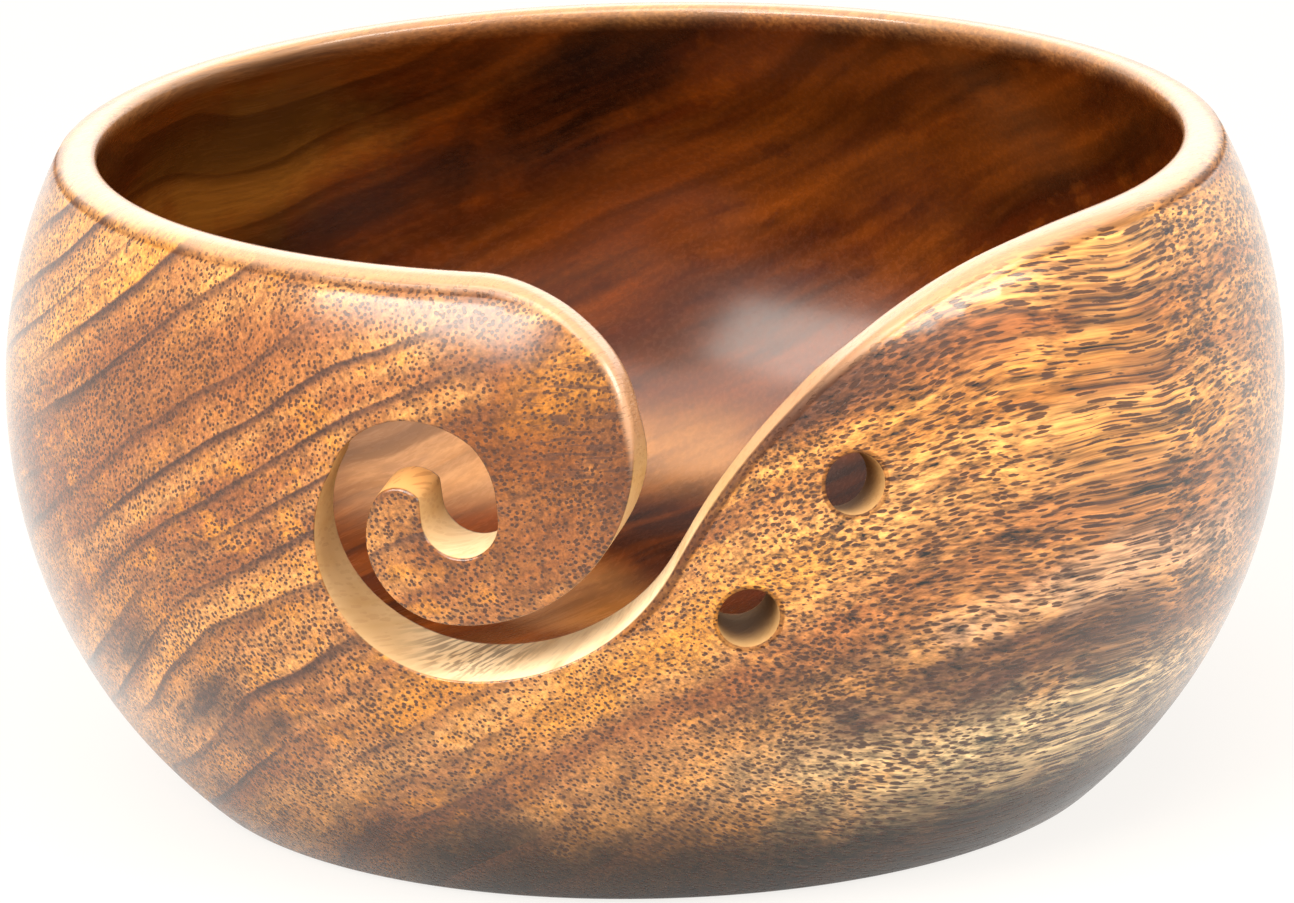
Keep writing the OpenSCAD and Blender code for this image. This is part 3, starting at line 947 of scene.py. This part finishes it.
def hollow_tone(f, broad):
    """Hollow darkened by a tint, partly darker wood and partly painted shade, with painted pools of light
    low on its back wall and on its floor.
    """
    c = f.c
    waves = f.times(
        f.ramp(f.grained((150, 60, 7), 3, 0.6), 0.34, 0.66, 0.5, 1.5),
        f.ramp(f.fibre, 0.2, 0.8, 0.85, 1.15))
    # Painted shade: the hollow multiplied by the tint, partly darker wood
    deep = f.mix(1.0, f.dim(broad, waves), c.depth, "MULTIPLY")
    deep = f.mix(f.times(f.open_pore, 0.5), deep, c.pore)
    # Painted light: a pale pool low on the back wall, stronger to the left, and a fainter one on the
    # floor
    east = f.ramp(f.x, -16, -4)
    upper = f.math("ADD", f.z, f.times(east, 4.5))
    lit_patch = f.times(f.ramp(f.z, 16, 21), f.ramp(upper, 33, 26), f.ramp(f.y, 30, 50),
                    f.ramp(f.x, 20, 8), f.ramp(east, 0, 1, 0.66, 0.46))
    lit_patch = f.math("MAXIMUM", lit_patch, f.times(f.near(LIT_FLOOR_SPOT, 13, 5), 0.3))
    pale = f.mix(0.5, broad, f.mix(east, c.rim, c.tan))
    return f.mix(f.times(lit_patch, f.ramp(waves, 0.5, 1.5, 0.55, 1.25)), deep, pale)


def sawn_faces(f):
    """Bare wood of the slot and the holes, with torn fibres, upper and left cut faces browner partly from
    painted shade, and painted shade in the bores.
    """
    c = f.c
    mottled = f.grained((24, 3, 3), 3)
    bare = f.mix(f.ramp(mottled, 0.45, 0.75, 0.0, 0.6), c.cream, c.sapwood)
    # Upper and left cut faces browner: partly darker end grain, partly painted shade
    bare = f.mix(f.ramp(f.z, 40, 56, 0.0, 0.85), bare, c.sapwood)
    bare = f.mix(f.times(f.ramp(f.x, -20, -30), 0.7), bare, c.sapwood)
    flank = f.times(f.ramp(f.x, 6, 14), f.ramp(f.z, 44, 54, 0.0, 0.85))
    bare = f.mix(flank, bare, f.front_brown)
    tip = f.near(TONGUE_TIP, 9, 5)
    bare = f.mix(f.times(tip, 0.85), bare, c.tan)
    bare = f.mix(f.times(f.pore, f.ramp(tip, 0, 1, 0.12, 0.4)), bare, c.chestnut)
    from_axis = f.vector("LENGTH", f.vector("MULTIPLY", f.place, (1, 1, 0)))
    # Painted shade in the needle holes: browner bore walls, darker deeper into the wall
    for at in NEEDLE_HOLES:
        bore_shade = f.near(at, 8.5, 6.5)
        brown = f.mix(f.times(bore_shade, 0.9), bare, c.sapwood)
        bare = f.mix(f.times(bore_shade, f.ramp(from_axis, 75, 70, 0.12, 0.7)), brown, c.umber)
    torn = f.times(f.near(TORN_FIBRES, 10, 3),
                   f.ramp(f.grained((9, 0.5, 0.5), 2), 0.44, 0.60))
    return f.mix(f.times(torn, 0.7), bare, c.umber)


def satin(f, tone):
    """Satin shader, dull and without its coat where the wood is bare or dark."""
    rough = f.math("ADD", f.times(f.sawn, 0.42), f.times(f.crease, 0.35))
    rough = f.math("ADD", f.ramp(f.fibre, 0.2, 0.8, 0.22, 0.31), rough)
    height = f.math("ADD", f.times(f.open_pore, -0.35), f.times(f.fibre, 0.05))
    height = f.times(height, f.ramp(f.inside, 0, 1, 1.0, 0.1))
    bump = f.node("Bump", {"Height": height, "Strength": 0.6, "Distance": 0.5 * MM})
    coat = f.times(f.ramp(f.inside, 0, 1, 1.0, 0.35), f.ramp(f.crease, 0, 0.6, 1.0, 0.0),
                   f.ramp(f.sawn, 0, 0.5, 1.0, 0.0), f.ramp(f.z, 5, 22, 0.1, 1.0))
    shader = f.node("BsdfPrincipled", {
        "Base Color": tone, "Roughness": rough, "Normal": bump.outputs["Normal"],
        "Coat Weight": coat, "Coat Roughness": 0.18, "Specular IOR Level": 0.2})
    f.node("OutputMaterial", {"Surface": shader.outputs[0]})


def wood_finish(material, colours):
    """Open-pored brown hardwood under a satin finish, bare in the saw cuts."""
    f = Wood(material, colours)
    broad = growth_rings(f, blotches(f, bands(f)))
    skin = rim_tint(f, pores(f, streaks(f, broad)))
    tone = f.mix(f.inside, skin, hollow_tone(f, broad))
    satin(f, f.mix(f.sawn, tone, sawn_faces(f)))


class YARNBOWL_OT_bowl(bpy.types.Operator):
    """Make the bowl with its rim, slot, needle holes and wood finish"""
    bl_idname = "yarn_bowl.bowl"
    bl_label = "Bowl"

    def execute(self, context):
        mesh = BowlMesh(context.scene.yarn_bowl_sizes).build("yarn_bowl")
        bowl = bpy.data.objects.new("yarn_bowl", mesh)
        context.scene.collection.objects.link(bowl)
        wood = new_material("oiled_wood")
        wood_finish(wood, context.scene.yarn_bowl_colours)
        mesh.materials.append(wood)
        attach(bowl, "root")
        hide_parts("bowl")
        return {"FINISHED"}


FLOOR_SIZE = 6.0
FLOOR_GAP = 0.2 * MM
FLOOR_GREY = (0.55, 0.54, 0.53, 1)
FLOOR_GLOW = 0.86
WORLD_LIGHT = (1, 0.97, 0.93, 1)
WORLD_STRENGTH = 0.4

# Lamps: name, turn from the front, rise, distance, width and height in metres, and watts
SOFTBOXES = (
    ("top_softbox", -12, 68, 1.2, (1.0, 0.8), 12.5),
    ("key_softbox", -44, 38, 1.1, (0.8, 0.42), 13.3),
    ("fill_softbox", 60, 34, 1.3, (0.8, 0.4), 10.0),
    ("back_softbox", 178, 24, 1.3, (2.0, 0.6), 4.0),
)
LAMP_TARGET = Vector((0, 0, 0.05))
LAMP_COLOUR = (1.0, 0.955, 0.885)

PHOTO_WIDTH = 1294
FOCAL_PIXELS = 8717.5
SENSOR_WIDTH = 36
CAMERA_PLACE = (0, -1.0, 0.3272)
CAMERA_PITCH = math.radians(-16.15)
CAMERA_ROLL = math.radians(-1.378)


class YARNBOWL_OT_stage(bpy.types.Operator):
    """Make the pale floor, the soft lights and the camera"""
    bl_idname = "yarn_bowl.stage"
    bl_label = "Stage"

    def execute(self, context):
        studio = context.scene.yarn_bowl_colours.studio
        self.add_floor(context, studio)
        self.add_world(context, studio)
        self.add_lights(context)
        self.add_camera(context)
        context.scene.view_settings.view_transform = "Standard"
        return {"FINISHED"}

    def add_floor(self, context, studio):
        half = FLOOR_SIZE / 2
        corners = [(-half, -half, 0), (half, -half, 0), (half, half, 0), (-half, half, 0)]
        mesh = bpy.data.meshes.new("studio_floor")
        mesh.from_pydata(corners, [], [(0, 1, 2, 3)])
        floor = bpy.data.objects.new("studio_floor", mesh)
        floor.location.z = -FLOOR_GAP
        context.scene.collection.objects.link(floor)
        pale = new_material("studio_floor")
        f = Nodes(pale.node_tree)
        seen = f.seen()
        lit = f.node("BsdfDiffuse", {"Color": f.mix(seen, FLOOR_GREY, tuple(studio))})
        glow = f.node("Emission", {"Color": tuple(studio), "Strength": 1.0})
        both = f.node("MixShader", {
            0: f.times(seen, FLOOR_GLOW), 1: lit.outputs[0], 2: glow.outputs[0]})
        f.node("OutputMaterial", {"Surface": both.outputs[0]})
        mesh.materials.append(pale)

    def add_world(self, context, studio):
        world = bpy.data.worlds.new("studio")
        world.use_nodes = True
        f = Nodes(world.node_tree)
        light = f.node("Background", {"Color": WORLD_LIGHT, "Strength": WORLD_STRENGTH})
        white = f.node("Background", {"Color": tuple(studio), "Strength": 1.0})
        both = f.node("MixShader", {0: f.seen(), 1: light.outputs[0], 2: white.outputs[0]})
        f.node("OutputWorld", {"Surface": both.outputs[0]})
        context.scene.world = world

    def add_lights(self, context):
        for name, turn, rise, far, size, watts in SOFTBOXES:
            lamp = bpy.data.lights.new(name, "AREA")
            lamp.shape = "RECTANGLE"
            lamp.size, lamp.size_y = size
            lamp.energy = watts
            lamp.color = LAMP_COLOUR
            obj = bpy.data.objects.new(name, lamp)
            turn, rise = math.radians(turn), math.radians(rise)
            flat = math.cos(rise)
            way = Vector((flat * math.sin(turn), -flat * math.cos(turn), math.sin(rise)))
            obj.location = LAMP_TARGET + way * far
            obj.rotation_euler = (-way).to_track_quat("-Z", "Y").to_euler()
            context.scene.collection.objects.link(obj)

    def add_camera(self, context):
        forward = Vector((0, math.cos(CAMERA_PITCH), math.sin(CAMERA_PITCH)))
        right = Vector((1, 0, 0))
        up = right.cross(forward)
        turned_right = right * math.cos(CAMERA_ROLL) + up * math.sin(CAMERA_ROLL)
        turned_up = up * math.cos(CAMERA_ROLL) - right * math.sin(CAMERA_ROLL)
        data = bpy.data.cameras.new("camera")
        data.sensor_width = SENSOR_WIDTH
        data.lens = SENSOR_WIDTH * FOCAL_PIXELS / PHOTO_WIDTH
        data.clip_start = 0.01
        camera = bpy.data.objects.new("camera", data)
        axes = Matrix((turned_right, turned_up, -forward)).transposed()
        camera.matrix_world = Matrix.Translation(CAMERA_PLACE) @ axes.to_4x4()
        context.scene.collection.objects.link(camera)
        context.scene.camera = camera


class YARNBOWL_PT_panel(bpy.types.Panel):
    """Lists the bowl's sizes, colours and operators"""
    bl_label = "Yarn bowl"
    bl_idname = "YARNBOWL_PT_panel"
    bl_space_type = "VIEW_3D"
    bl_region_type = "UI"
    bl_category = "Yarn bowl"

    def draw(self, context):
        layout = self.layout
        for operator in (YARNBOWL_OT_bowl, YARNBOWL_OT_stage):
            layout.operator(operator.bl_idname)
        for group in (context.scene.yarn_bowl_sizes, context.scene.yarn_bowl_colours):
            column = layout.column(align=True)
            for name in group.__annotations__:
                column.prop(group, name)


CLASSES = (YarnBowlSizes, YarnBowlColours, YARNBOWL_OT_bowl, YARNBOWL_OT_stage, YARNBOWL_PT_panel)


def register():
    for cls in CLASSES:
        bpy.utils.register_class(cls)
    bpy.types.Scene.yarn_bowl_sizes = bpy.props.PointerProperty(type=YarnBowlSizes)
    bpy.types.Scene.yarn_bowl_colours = bpy.props.PointerProperty(type=YarnBowlColours)


def unregister():
    del bpy.types.Scene.yarn_bowl_colours
    del bpy.types.Scene.yarn_bowl_sizes
    for cls in reversed(CLASSES):
        bpy.utils.unregister_class(cls)


def main():
    register()
    bpy.ops.yarn_bowl.bowl()
    bpy.ops.yarn_bowl.stage()
    bpy.context.view_layer.update()


if __name__ == "__main__":
    main()
